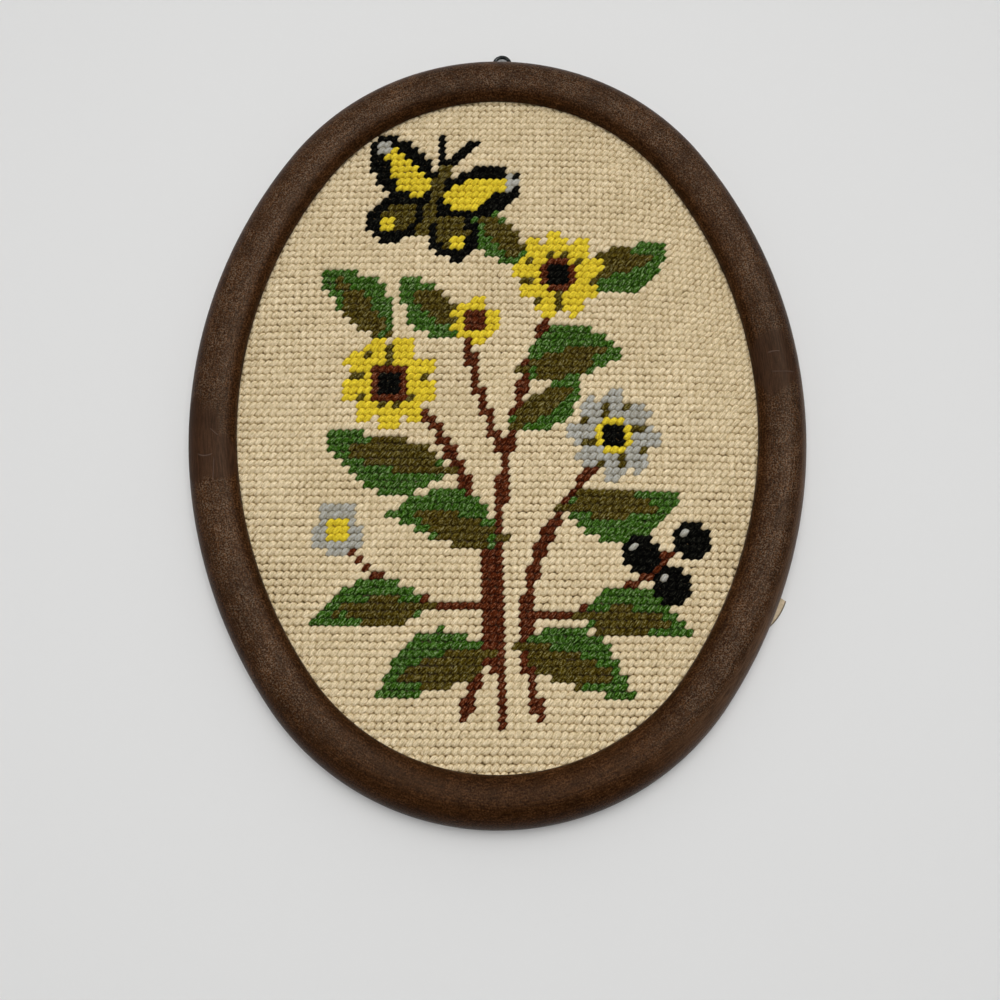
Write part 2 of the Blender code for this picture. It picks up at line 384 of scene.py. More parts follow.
wander = add_node(rail_skin, "ShaderNodeTexNoise", {"Vector": place, "Scale": 90.0, "Detail": 2.0})
pushed = vector_math(rail_skin, "MULTIPLY_ADD", wander.outputs["Color"], (RAGGED, RAGGED, 0.0), place)
average_push = Vector((RAGGED / 2, RAGGED / 2, 0.0))
rubbed = 0.0
for centre, half_size in RUBBED_PATCHES:
    patch = rubbed_patch(rail_skin, pushed, MM * Vector(centre) + average_push, MM * Vector(half_size))
    rubbed = calculate(rail_skin, "MAXIMUM", rubbed, patch)
grain_left = calculate(rail_skin, "SUBTRACT", 1.0, product(rail_skin, rubbed, 0.92))
print("rubbed patches:", len(RUBBED_PATCHES))

# %% [markdown]
# ### Specks, pits and a painted crest highlight
# One fine noise gives the grain: its high parts are pale specks, and its low parts are
# dark pits. A coarser noise gathers the specks in clumps, and there are fewer at the
# lower end. A highlight is painted in pale specks on the crest only, which the height of
# each place picks out, and it fades out towards the lower end.

# %% Specks, pits and the painted crest highlight
grain = noise(rail_skin, place, 1800.0, 3.0, 0.66)
clumps = noise(rail_skin, place, 190.0, 3.0, 0.6)
crest_highlight_grain = noise(rail_skin, place, 2300.0, 1.0, 0.5)
where = add_node(rail_skin, "ShaderNodeSeparateXYZ", {"Vector": place}).outputs
clumped = product(
    rail_skin,
    spread(rail_skin, clumps, 0.36, 0.62, 0.54, 0.97),
    spread(rail_skin, where["Y"], -128 * MM, -70 * MM, 0.60, 1.0),
    grain_left,
)
on_crest = product(
    rail_skin,
    spread(rail_skin, where["Z"], 10.6 * MM, 12.9 * MM),
    spread(rail_skin, where["Y"], -126 * MM, -92 * MM),
)
specks = product(rail_skin, spread(rail_skin, grain, 0.47, 0.60), clumped)
pits = product(rail_skin, spread(rail_skin, grain, 0.44, 0.32), grain_left)
# Painted highlight: pale specks on the crest stand for the gloss that catches the light there.
painted_crest_highlight = product(rail_skin, spread(rail_skin, crest_highlight_grain, 0.50, 0.62), clumped, on_crest)
colour = lay_over(rail_skin, RAIL_BROWN, specks, 0.85, RAIL_PALE)
colour = lay_over(rail_skin, colour, pits, 0.90, RAIL_DARK)
colour = lay_over(rail_skin, colour, painted_crest_highlight, 0.50, CREST_HIGHLIGHT)
colour = lay_over(rail_skin, colour, rubbed, 0.34, RAIL_RUBBED)
print("speck colour:", RAIL_PALE)

# %% [markdown]
# ### Streaks and the painted edge sheen
# Both follow the oval, so they need to know how far out a place lies and which way round.
# Dividing it by the half sizes makes the oval nearly a circle: its length then says how
# far out, and its direction says where round. A noise that changes fast with the first
# and slowly with the second runs in streaks along the rail. A paler band is painted on the
# outer edge at the lower right, as a painted sheen there.

# %% Streaks and the painted edge sheen
SHEEN_SIDE = (0.93, -0.37, 0.0)
STREAKS_ACROSS = 13.0
oval = vector_math(rail_skin, "MULTIPLY", place, (1 / HALF_WIDTH, 1 / HALF_LENGTH, 0))
far_out = vector_math(rail_skin, "LENGTH", oval, output="Value")
around = vector_math(rail_skin, "NORMALIZE", oval)
at_sheen_side = vector_math(rail_skin, "DOT_PRODUCT", around, SHEEN_SIDE, output="Value")
# Painted sheen: a paler band along the outer edge at the lower right stands for a reflection there.
painted_edge_sheen = product(
    rail_skin, spread(rail_skin, far_out, 0.962, 0.986), spread(rail_skin, at_sheen_side, 0.70, 0.94)
)
colour = lay_over(rail_skin, colour, painted_edge_sheen, 0.76, EDGE_SHEEN)

across = add_node(rail_skin, "ShaderNodeCombineXYZ", {"Z": product(rail_skin, far_out, STREAKS_ACROSS)})
streaks = noise(rail_skin, vector_math(rail_skin, "ADD", around, across.outputs["Vector"]), 24.0, 4.0, 0.62)
clouds = noise(rail_skin, place, 48.0)
uneven = product(
    rail_skin,
    spread(rail_skin, clouds, 0.3, 0.7, 0.86, 1.10),
    spread(rail_skin, streaks, 0.32, 0.68, 0.62, 1.42),
)
colour = scale_colour(rail_skin, colour, uneven, uneven, uneven)
# The colour printed here is the painted edge sheen.
print("rubbed edge colour:", EDGE_SHEEN)

# %% [markdown]
# ### Mould marks
# Each mark is a thin band with a small bend. A Mapping node puts its own coordinates on
# the mark, and the band is where the distance from a shallow parabola is small.

# %% Mould marks
MOULD_MARKS = (  # centre, turn, length, thickness and bend
    ((-95.0, -18.9, 12.0), 0.0, 5.4, 0.36, 120.0),
    ((94.6, 9.3, 12.0), 0.0, 8.4, 0.24, 6.0),
    ((91.9, 16.4, 12.0), 0.1, 4.4, 0.38, -70.0),
    ((-92.4, -10.9, 12.0), -0.7, 4.0, 0.26, 20.0),
    ((-91.9, -23.5, 12.0), 1.58, 9.0, 0.22, 4.0),
)


def mould_mark(material, place, centre, turn, length, thickness, bend):
    """A thin bent line, 1 on the line and 0 beside it."""
    moved = add_node(
        material, "ShaderNodeMapping",
        {"Vector": place, "Location": centre, "Rotation": (0, 0, turn)}, vector_type="TEXTURE",
    ).outputs["Vector"]
    split = add_node(material, "ShaderNodeSeparateXYZ", {"Vector": moved}).outputs
    sag = product(material, calculate(material, "POWER", split["X"], 2), bend)
    off_line = calculate(material, "ABSOLUTE", calculate(material, "SUBTRACT", split["Y"], sag))
    off_middle = calculate(material, "ABSOLUTE", split["X"])
    on_line = spread(material, off_line, thickness, 0.3 * thickness)
    return product(material, on_line, spread(material, off_middle, length / 2, length / 3))


marks = 0.0
for centre, turn, length, thickness, bend in MOULD_MARKS:
    mark = mould_mark(rail_skin, place, MM * Vector(centre), turn, MM * length, MM * thickness, bend)
    marks = calculate(rail_skin, "MAXIMUM", marks, mark)
relief = calculate(rail_skin, "ADD", product(rail_skin, grain, grain_left), product(rail_skin, marks, 0.8))
shade_with(
    rail_skin,
    Base_Color=lay_over(rail_skin, colour, marks, 0.52, MARK_PALE),
    Roughness=spread(rail_skin, rubbed, 0.0, 1.0, RAIL_ROUGHNESS, RUBBED_ROUGHNESS),
    Normal=bump(rail_skin, relief, 0.8, 0.20 * MM),
)

# %% [markdown]
# ## The rail
# The rail is one moulding: a straight wall, a rounded top and a thin lip over the
# canvas. A section drawn once and spun through the four arcs gives it, as a turned
# moulding is made, and enough steps keep the long highlight smooth.

# %% Rail section and sweep
RAIL_WIDTH = 16.8 * MM
RAIL_TOP = rail_high.z
WALL_TOP = 3.0 * MM
LIP_TOP = 8.3 * MM
LIP_UNDERSIDE = 7.3 * MM
REBATE_INSET = 11.6 * MM
FOOT_CHAMFER = 0.4 * MM
QUARTER_STEPS = 14
END_STEPS = 72
SIDE_STEPS = 56
SAME_PLACE = 0.01 * MM


def rail_section():
    """Inset and height of each corner of the section, from the foot up and over."""
    crest = RAIL_WIDTH / 2
    section = [(FOOT_CHAMFER, 0), (0, FOOT_CHAMFER)]
    for step in range(QUARTER_STEPS + 1):
        angle = math.pi / 2 * step / QUARTER_STEPS
        section.append((crest * (1 - math.cos(angle)), WALL_TOP + (RAIL_TOP - WALL_TOP) * math.sin(angle)))
    for step in range(1, QUARTER_STEPS + 1):
        angle = math.pi / 2 * step / QUARTER_STEPS
        section.append((crest * (1 + math.sin(angle)), LIP_TOP + (RAIL_TOP - LIP_TOP) * math.cos(angle)))
    return section + [(RAIL_WIDTH, LIP_UNDERSIDE), (REBATE_INSET, LIP_UNDERSIDE), (REBATE_INSET, 0)]


bm = bmesh.new()
centre, start, _, radius, _ = oval_arcs(1, 1)[0]
outward = Vector((math.cos(start), math.sin(start), 0))
corners = [
    bm.verts.new(centre + outward * (radius - inset) + Vector((0, 0, height)))
    for inset, height in rail_section()
]
edges = [bm.edges.new(pair) for pair in zip(corners, corners[1:] + corners[:1])]
geometry = corners + edges
for centre, _, sweep, _, steps in oval_arcs(END_STEPS, SIDE_STEPS):
    geometry = bmesh.ops.spin(
        bm, geom=geometry, cent=centre, axis=(0, 0, 1), dvec=(0, 0, 0),
        angle=sweep, steps=steps, use_merge=False, use_duplicate=False,
    )["geom_last"]
bmesh.ops.remove_doubles(bm, verts=bm.verts, dist=SAME_PLACE)
bmesh.ops.recalc_face_normals(bm, faces=bm.faces)
rail = finish_mesh("oval_rail", bm, rail_skin)
print("rail swept:", len(rail.data.polygons), "faces")

# %% [markdown]
# ## What is cut out of the rail
# The wire loop passes through a small notch in the back edge, its legs sit in two blind
# holes, and a shallow groove lets the foot stand flat over the paper strip. Booleans cut
# them, and each cutter is a primitive that is removed once its cut is applied.

# %% Notch, groove and leg holes
WIRE_RADIUS = 0.65 * MM
GAP = 0.3 * MM
loop_low, loop_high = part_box("hanging_loop")
LOOP_MIDDLE = (loop_low + loop_high) / 2
BEND_RADIUS = (loop_high.x - loop_low.x) / 2 - WIRE_RADIUS
TAPE_WIDTH = 12.0 * MM
TAPE_LENGTH = 27.0 * MM
TAPE_ANGLE = math.radians(-33.7)
TAPE_TIP = (MIDDLE.x + 90.7 * MM, MIDDLE.y - 67.5 * MM, 0)
TAPE_PLACE = Matrix.Translation(TAPE_TIP) @ Matrix.Rotation(TAPE_ANGLE, 4, "Z")
NOTCH = (10.0 * MM, 4.8 * MM, 6.4 * MM)
GROOVE = (TAPE_LENGTH, TAPE_WIDTH + 2 * GAP, 1.6 * MM)
GROOVE_OVERRUN = 4.0 * MM
BORE = WIRE_RADIUS + GAP
BORE_DEPTH = 8.5 * MM
SHARP_CORNER = math.radians(40)


def cut_away(piece, bm, matrix):
    """Cuts a shape out of a piece and removes the cutter."""
    bmesh.ops.transform(bm, matrix=matrix, verts=bm.verts)
    bmesh.ops.recalc_face_normals(bm, faces=bm.faces)
    cutter = finish_mesh("cutter", bm)
    cut = piece.modifiers.new("cut", "BOOLEAN")
    cut.operation = "DIFFERENCE"
    cut.object = cutter
    evaluated = piece.evaluated_get(bpy.context.evaluated_depsgraph_get())
    old = piece.data
    piece.data = bpy.data.meshes.new_from_object(evaluated)
    piece.modifiers.remove(cut)
    bpy.data.meshes.remove(old)
    bpy.data.objects.remove(cutter)


wall_at_loop = Vector((LOOP_MIDDLE.x, MIDDLE.y + HALF_LENGTH, 0))
for size, matrix in (
    (NOTCH, Matrix.Translation(wall_at_loop)),
    (GROOVE, TAPE_PLACE @ Matrix.Translation((GROOVE_OVERRUN - TAPE_LENGTH / 2, 0, 0))),
):
    bm = bmesh.new()
    bmesh.ops.create_cube(bm, size=1.0, matrix=Matrix.Diagonal((*size, 1)))
    cut_away(rail, bm, matrix)
for side in (-1, 1):
    bm = bmesh.new()
    bmesh.ops.create_cone(bm, cap_ends=True, segments=24, radius1=BORE, radius2=BORE, depth=BORE_DEPTH)
    lay_down = Matrix.Rotation(math.pi / 2, 4, "X")
    offset = Vector((side * BEND_RADIUS, -BORE_DEPTH / 2, LOOP_MIDDLE.z))
    cut_away(rail, bm, Matrix.Translation(wall_at_loop + offset) @ lay_down)
rail.data.name = "oval_rail"
rail.data.set_sharp_from_angle(angle=SHARP_CORNER)
dress(rail, "frame")

# %% [markdown]
# ## The canvas lattice
# Needlepoint canvas is an open grid of threads, and each stitch crosses one meeting of
# them. On a finished picture the grid is never quite square: rows sag a little where the
# slanted stitches pull on them. So the lattice is worked out once, as an even grid plus
# a smooth shift, and the stitches, the canvas and its holes all follow it. The canvas
# also swells a little from the lip towards its middle.

# %% Lattice and height
COLUMN_PITCH = 2.405 * MM
ROW_PITCH = 2.49 * MM
COLUMNS_EACH_WAY = 38
ROWS_EACH_WAY = 50
OUTERMOST_STITCH = 14.4 * MM
OPENING_HALF = HALF_WIDTH - RAIL_WIDTH
STITCH_TOP_AT_LIP = 7.0 * MM
CANVAS_RISE = 1.8 * MM
RISE_POWER = 3.2


def ease(value, low, high):
    """0 below low, 1 above high and a smooth step between."""
    t = np.clip((value - low) / (high - low), 0, 1)
    return t * t * (3 - 2 * t)


def lattice_shift(x, y):
    """How far the stitches have pulled each place of the even grid, both ways."""
    right, up = (x - MIDDLE.x) / MM, (y - MIDDLE.y) / MM
    lean = -0.012 * up * (1 - ease(up, 50, 100))
    lean = lean - 0.018 * up * ease(-right, 20, 70) * (1 - ease(np.abs(up), 40, 90))
    sag = -0.012 * right - 0.010 * right**2 / 150
    sag = sag - 0.00092 * np.maximum(0, right - 20) ** 2 * ease(up, 5, 60)
    ripple = 0.14 * np.sin(0.11 * right + 0.05 * up) + 0.10 * np.sin(0.19 * up - 0.06 * right + 1.7)
    return MM * (lean + 0.6 * ripple), MM * (sag + ripple)


def lattice_place(column, row):
    """Where the stitch in this column and row has its middle."""
    x = MIDDLE.x + column * COLUMN_PITCH
    y = MIDDLE.y + row * ROW_PITCH
    shift_x, shift_y = lattice_shift(x, y)
    return x + shift_x, y + shift_y


def stitch_top(x, y):
    """Height of the tops of the stitches: level at the lip, then a low uneven swell."""
    inside = np.clip((inset_of(x, y) - RAIL_WIDTH) / OPENING_HALF, 0, 1)
    swell = 1 - (1 - inside) ** RISE_POWER
    uneven = np.sin(41 * x + 0.6) * np.cos(33 * y - 0.4) + 0.6 * np.sin(67 * y + 52 * x)
    return STITCH_TOP_AT_LIP + (CANVAS_RISE + 0.12 * MM * uneven) * swell


columns, rows = np.meshgrid(
    np.arange(-COLUMNS_EACH_WAY, COLUMNS_EACH_WAY + 1),
    np.arange(-ROWS_EACH_WAY, ROWS_EACH_WAY + 1),
    indexing="ij",
)
stitch_x, stitch_y = lattice_place(columns, rows)
worked = inset_of(stitch_x, stitch_y) > OUTERMOST_STITCH
print("stitches worked:", int(worked.sum()))

# %% [markdown]
# ## The chart
# A needlepoint design is a chart with one yarn for each stitch. This one is a posy of
# daisies and leaves with a butterfly above it. It could be a long table of letters, but
# each motif is simpler to say as a shape: a leaf is a bent, pointed oval with a darker
# half, a flower is a circle whose radius waves with the angle. Each is painted over the
# chart in turn, and the stepped edges come by themselves, as they do on squared paper.

# %% Yarns and the blank chart
# The last number of each yarn sets how strongly a painted highlight pales its fibre ends.
YARNS = {  # dye, how strongly the fibres show, and how pale their loose tips are
    "cream": ((0.722, 0.585, 0.368), 0.33, 0.0),
    "green": ((0.0340, 0.106, 0.0034), 1.45, 0.86),
    "olive": ((0.074, 0.050, 0.0018), 1.40, 0.48),
    "red_brown": ((0.086, 0.0140, 0.0016), 1.45, 0.31),
    "black": ((0.0002, 0.0002, 0.0001), 1.20, 0.095),
    "yellow": ((0.73, 0.550, 0.033), 0.36, 0.0),
    "grey": ((0.396, 0.381, 0.327), 0.36, 0.0),
}
YARN_ORDER = list(YARNS)
chart = np.zeros(columns.shape, int)


def paint(mask, yarn):
    """Works this yarn wherever the mask is true."""
    chart[mask] = YARN_ORDER.index(yarn)


# %% Motifs
def stem(start, pull, end, half_width):
    """A curve from start to end, drawn towards pull."""
    t = np.linspace(0, 1, 60)[:, None]
    route = np.array(start) * (1 - t) ** 2 + 2 * np.array(pull) * t * (1 - t) + np.array(end) * t**2
    nearest = np.min([np.hypot(columns - x, rows - y) for x, y in route], axis=0)
    paint(nearest < half_width, "red_brown")


def leaf(base, tip, half_width, dark_side):
    """A bent, pointed oval with an olive midrib and most of one half in olive."""
    run, rise = tip[0] - base[0], tip[1] - base[1]
    length = math.hypot(run, rise)
    right, up = columns - base[0], rows - base[1]
    along = (right * run + up * rise) / length**2
    bow = np.sin(math.pi * np.clip(along, 0, 1))
    across = dark_side * (up * run - right * rise) / length - 0.10 * length * bow
    edge = half_width * np.sin(math.pi * np.clip(along, 0, 1) ** 0.8) ** 0.75
    inside = (along > 0) & (along < 1) & (np.abs(across) < edge)
    paint(inside, "green")
    paint(inside & (across < 0) & (along > 0.08) & (along < 0.78 + 0.25 * across / half_width), "olive")
    paint((np.abs(across) < 0.5) & (along > -0.10) & (along < 0.80), "olive")


def flower(centre, radius, petals, turn, petal, shadow, ring, heart):
    """Petals round a ringed heart. Shadow is the yarn between the petals."""
    reach = np.hypot(columns - centre[0], rows - centre[1]) / radius
    angle = np.arctan2(rows - centre[1], columns - centre[0]) + turn
    wave = np.abs(np.cos(petals / 2 * angle))
    paint(reach < 0.60 + 0.40 * wave**0.6, petal)
    paint((reach < 0.78) & (wave < 0.26), shadow)
    paint(reach < 0.42, ring)
    paint(reach < 0.28, heart)


def berry(right, up):
    """A round black berry with one pale stitch where it shines."""
    paint(np.hypot(columns - right, rows - up) < 2.3, "black")
    paint((columns == right - 1) & (rows == up + 1), "grey")


def butterfly(centre, turn, size):
    """Two pairs of mirrored wings, each an oval with smaller ovals on it."""
    right, up = (columns - centre[0]) / size, (rows - centre[1]) / size
    out = np.abs(right * math.cos(turn) + up * math.sin(turn))
    ahead = up * math.cos(turn) - right * math.sin(turn)
    for middle, half_size, tilt, yarn in (
        ((5.0, -4.8), (4.8, 4.0), -0.70, "black"),
        ((4.6, -4.4), (3.2, 2.6), -0.70, "olive"),
        ((6.4, -6.4), (1.3, 1.3), 0.00, "yellow"),
        ((7.0, 3.8), (7.4, 4.4), 0.55, "black"),
        ((5.4, 2.8), (4.2, 2.5), 0.55, "yellow"),
        ((9.4, 5.9), (2.1, 1.5), 0.55, "yellow"),
        ((11.4, 7.2), (1.3, 1.3), 0.00, "grey"),
    ):
        a, b = out - middle[0], ahead - middle[1]
        long_way = (a * math.cos(tilt) + b * math.sin(tilt)) / half_size[0]
        short_way = (b * math.cos(tilt) - a * math.sin(tilt)) / half_size[1]
        paint(long_way**2 + short_way**2 < 1, yarn)
    paint((out < 1.1) & (np.abs(ahead) < 6.8), "olive")
    paint((out < 0.5) & (ahead > 5.0) & (ahead < 7.0), "black")
    feeler = np.abs(out - 0.5 * (ahead - 6.5) - 0.3) < 0.62
    paint(feeler & (ahead > 6.5) & (ahead < 12.5), "black")


# %% Lay the motifs out
for start, pull, end, half_width in (
    ((-5, -40), (5, -16), (-13, 3), 0.75),
    ((5, -40), (-1, -20), (15, -6), 0.75),
    ((0, -41), (-3, -8), (8, 15), 0.75),
    ((3, -27), (12, -29), (24, -18), 0.60),
    ((-1, -26), (-12, -28), (-21, -18), 0.60),
    ((1, -6), (-3, 2), (-4, 11), 0.60),
):
    stem(start, pull, end, half_width)
for base, tip, half_width, dark_side in (
    ((-7, -8), (-24, -3), 3.9, 1),
    ((0, -17), (-15, -14), 3.7, -1),
    ((9, -13), (25, -11), 3.7, -1),
    ((-4, 11), (-13, 20), 3.2, 1),
    ((4, 6), (18, 9), 3.8, 1),
    ((2, -2), (12, 6), 2.6, -1),
    ((3, -31), (17, -37), 3.8, 1),
    ((-2, -32), (-16, -37), 3.8, -1),
    ((12, 20), (25, 25), 3.5, -1),
    ((11, -27), (25, -29), 3.5, 1),
    ((-15, 11), (-25, 20), 3.4, -1),
    ((-10, -26), (-25, -28), 3.2, -1),
    ((4, 22), (-3, 31), 2.8, 1),
):
    leaf(base, tip, half_width, dark_side)
flower((-15, 4), 6.9, 9, 0.2, "yellow", "olive", "red_brown", "black")
flower((16, -3), 6.3, 8, 0.1, "grey", "olive", "yellow", "black")
flower((9, 20), 6.6, 9, 0.5, "yellow", "olive", "red_brown", "black")
flower((-22, -16), 3.9, 5, 0.3, "grey", "grey", "yellow", "yellow")
flower((-3, 13), 3.6, 5, 1.2, "yellow", "yellow", "red_brown", "red_brown")
for right, up in ((19, -19), (26, -17), (23, -23)):
    berry(right, up)
butterfly((-9, 31), -0.30, 0.86)
for index, yarn in enumerate(YARN_ORDER):
    share = (chart[worked] == index).mean()
    print(f"{yarn}: {100 * share:.1f}% of the stitches")

# %% [markdown]
# ## One stitch
# A tent stitch is a short bar of wool that comes up through one hole of the canvas and
# goes down through the next one up and to the right. It is plump in the middle, dives at
# both ends, and its neighbours press it into a slanted, rounded block. Curves with a
# bevel would make thousands of such bars, but far too many faces. A cone with eight
# sides and a few rings, bent into shape once, is enough when it is shaded smooth. Its
# underside is pulled out into a flat foot that hides the canvas, so that small dark holes
# show only where the ends of the stitches meet.

# %% Shape one stitch
BEAD_SIDES = 8
BEAD_CUTS = 5
HALF_STITCH = 1.77
HALF_YARN = 1.17
YARN_HEIGHT = 1.00
YARN_DEPTH = 0.35
FLATNESS = 0.86
END_SQUARENESS = 3.5
END_SIZE = 0.41
END_DIVE = 0.55
FOOT_SPREAD = 1.10


def shape_stitch():
    """A stitch as places (along, across, up) in millimetres, its faces and their UVs."""
    bm = bmesh.new()
    bmesh.ops.create_cone(bm, cap_ends=True, segments=BEAD_SIDES, radius1=1, radius2=1, depth=2)
    long_edges = [edge for edge in bm.edges if abs(edge.verts[0].co.z - edge.verts[1].co.z) > 1]
    bmesh.ops.subdivide_edges(bm, edges=long_edges, cuts=BEAD_CUTS, use_grid_fill=True)
    strand = bm.loops.layers.uv.new("strand")
    for face in bm.faces:
        turns = [math.atan2(loop.vert.co.x, -loop.vert.co.y) for loop in face.loops]
        for loop, turn in zip(face.loops, turns):
            over_seam = max(turns) - turn > math.pi
            wrapped = turn + 2 * math.pi * over_seam
            loop[strand].uv = (loop.vert.co.z * HALF_STITCH, wrapped * HALF_YARN)
    for vert in bm.verts:
        along = math.copysign(abs(vert.co.z) ** 0.75, vert.co.z)
        fullness = max((1 - abs(along) ** END_SQUARENESS), 0) ** (1 / END_SQUARENESS)
        fullness = max(fullness, END_SIZE)
        up = math.copysign(abs(vert.co.y) ** FLATNESS, vert.co.y) * fullness
        up = up * (YARN_HEIGHT if up > 0 else YARN_DEPTH)
        across = math.copysign(abs(vert.co.x) ** FLATNESS, vert.co.x) * fullness
        up = up - END_DIVE * abs(along) ** 4
        if vert.co.y < -0.1:
            across = FOOT_SPREAD * round(vert.co.x * 1.4)
            up = -YARN_DEPTH
        vert.co = (along * HALF_STITCH, -across * HALF_YARN, up)
    bmesh.ops.recalc_face_normals(bm, faces=bm.faces)
    bm.verts.index_update()
    places = np.array([vert.co[:] for vert in bm.verts])
    faces = [[loop.vert.index for loop in face.loops] for face in bm.faces]
    uvs = np.array([loop[strand].uv[:] for face in bm.faces for loop in face.loops])
    bm.free()
    return places, faces, uvs


bead, bead_faces, bead_uvs = shape_stitch()
print(f"one stitch: {len(bead)} places, {len(bead_faces)} faces")

# %% [markdown]
# ## Every stitch
# Each stitch is that one bead, laid on the lattice with a slightly different angle,
# length and fullness, because no hand pulls the yarn evenly. The bead is sheared as well
# as turned: its length follows the slant of the stitch, and its width follows the line
# of holes that its ends share. Cream stitches beside a colour stand a little proud,
# since they were worked last, when their neighbours already filled the holes.

# %% Which stitches, and which stand proud
count = int(worked.sum())
centre_x, centre_y = stitch_x[worked], stitch_y[worked]
yarn_of = chart[worked]
row_of = rows[worked]

is_cream = chart == YARN_ORDER.index("cream")
beside_colour = np.zeros(chart.shape, bool)
for step_column, step_row in ((1, 0), (-1, 0), (0, 1), (0, -1)):
    beside_colour |= ~np.roll(is_cream, (step_column, step_row), (0, 1))
proud = (beside_colour & is_cream)[worked]
print("cream stitches beside a colour:", int(proud.sum()))

# %% How uneven each stitch is
SLANT = math.radians(49)
HOLE_LINE = math.radians(-28)
UNEVEN_ROWS = 0.024
UNEVEN_LENGTH = 0.035
UNEVEN_WIDTH = 0.050
UNEVEN_HEIGHT = 0.05
UNEVEN_SLANT = 0.060
UNEVEN_HOLE_LINE = 0.08
UNEVEN_PLACE = 0.050 * MM
rng = np.random.default_rng(11)
row_tension = rng.normal(0, UNEVEN_ROWS, 2 * ROWS_EACH_WAY + 1)[row_of + ROWS_EACH_WAY]
patch_tension = 0.035 * np.sin(90 * centre_x + 1.3) * np.cos(70 * centre_y + 0.4)
length_scale = 1 + row_tension + patch_tension + rng.normal(0, UNEVEN_LENGTH, count)
width_scale = 1 + rng.normal(0, UNEVEN_WIDTH, count) + 0.05 * proud
height_scale = 1 + rng.normal(0, UNEVEN_HEIGHT, count) + 0.08 * proud
slant = SLANT + rng.normal(0, UNEVEN_SLANT, count)
hole_line = HOLE_LINE + rng.normal(0, UNEVEN_HOLE_LINE, count)
centre_x = centre_x + rng.normal(0, UNEVEN_PLACE, count)
centre_y = centre_y + rng.normal(0, UNEVEN_PLACE, count)
print(f"stitch lengths from {length_scale.min():.2f} to {length_scale.max():.2f} of the usual one")

# %% Lay every stitch on the lattice
LIP_CLEARANCE = 0.1 * MM
along = MM * bead[:, 0] * length_scale[:, None]
across = MM * bead[:, 1] * width_scale[:, None]
all_x = centre_x[:, None] + along * np.cos(slant)[:, None] - across * np.cos(hole_line)[:, None]
all_y = centre_y[:, None] + along * np.sin(slant)[:, None] - across * np.sin(hole_line)[:, None]
all_z = stitch_top(all_x, all_y) + MM * (bead[:, 2] * height_scale[:, None] - YARN_HEIGHT)
under_lip = inset_of(all_x, all_y) < RAIL_WIDTH + GAP
headroom = np.where(under_lip, LIP_UNDERSIDE - LIP_CLEARANCE, np.inf)
all_places = np.stack([all_x, all_y, np.minimum(all_z, headroom)], axis=2)
shade = rng.random(count)
strand_offset = rng.uniform(0, 60, (count, 2))
print("highest stitch:", round(1000 * float(all_places[:, :, 2].max()), 2), "mm")

# %% [markdown]
# ## Wool
# Wool yarn is a loose twist of fine fibres. Pale streaks run slantwise along each strand,
# and on the dark yarns a pale fuzz is painted where the loose ends of the fibres catch the
# light: a painted highlight. Little light gets down into the gaps, and what does has been
# warmed by the wool around it, and both are painted into the colour as shade. The streaks
# are a noise stretched along each stitch's own UV map, turned a little for the twist. Two
# attributes go with it. The shade is one number for each stitch, so no two look alike, and
# the level says how high each place lies, which paints shade into the gaps. The three
# channels are raised to slightly different powers, so that the painted shade turns warm.

# %% Wool material
TWIST = math.radians(-14)
FIBRE_SCALE = (0.55, 3.0, 1)
WARM_GAPS = (0.92, 1.05, 1.40)
TIP_HIGHLIGHT = (0.43, 0.42, 0.30)


def wool(name, colour, streaks, fuzz):
    """Matte wool. Streaks is how strongly its fibres show, fuzz how strongly a painted highlight pales the
    fibre ends.
    """
    material = new_material(name, colour, 0.9, 0.02)
    strand = add_node(material, "ShaderNodeUVMap", uv_map="strand").outputs["UV"]
    twisted = add_node(
        material, "ShaderNodeMapping",
        {"Vector": strand, "Rotation": (0, 0, TWIST), "Scale": FIBRE_SCALE},
    ).outputs["Vector"]
    fibres = noise(material, twisted, 1.0, 2.0, 0.6)
    fluff = noise(material, object_place(material), 2600.0, 2.0, 0.6)
    dye = noise(material, object_place(material), 55.0)
    shade = add_node(material, "ShaderNodeAttribute", attribute_name="shade").outputs["Fac"]
    level = add_node(material, "ShaderNodeAttribute", attribute_name="level").outputs["Fac"]
    # The level term is painted shade: the lower a place lies on its stitch, the darker it is painted.
    light = product(
        material,
        spread(material, fibres, 0.36, 0.64, 1 - 0.60 * streaks, 1 + 0.75 * streaks),
        spread(material, fluff, 0.36, 0.64, 1 - 0.42 * streaks, 1 + 0.46 * streaks),
        spread(material, shade, 0.0, 1.0, 0.96, 1.03),
        spread(material, dye, 0.3, 0.7, 0.96, 1.03),
        spread(material, level, -0.30, 0.70 + 0.15 * streaks, 0.49 - 0.24 * streaks, 1.0),
    )
    warmed = [calculate(material, "POWER", light, power) for power in WARM_GAPS]
    tinted = scale_colour(material, colour, *warmed)
    if fuzz:
        # Painted highlight: the pale fuzz is laid on most where the fibres stand high.
        tips = product(
            material,
            spread(material, fibres, 0.50, 0.62),
            spread(material, fluff, 0.46, 0.60),
            spread(material, level, -0.1, 0.8, 0.3 * fuzz, fuzz),
        )
        tinted = blend_colours(material, tips, tinted, TIP_HIGHLIGHT)
    relief = calculate(material, "MULTIPLY_ADD", fluff, 0.35, fibres)
    shade_with(material, Base_Color=tinted, Normal=bump(material, relief, 0.7, 0.22 * MM))
    return material


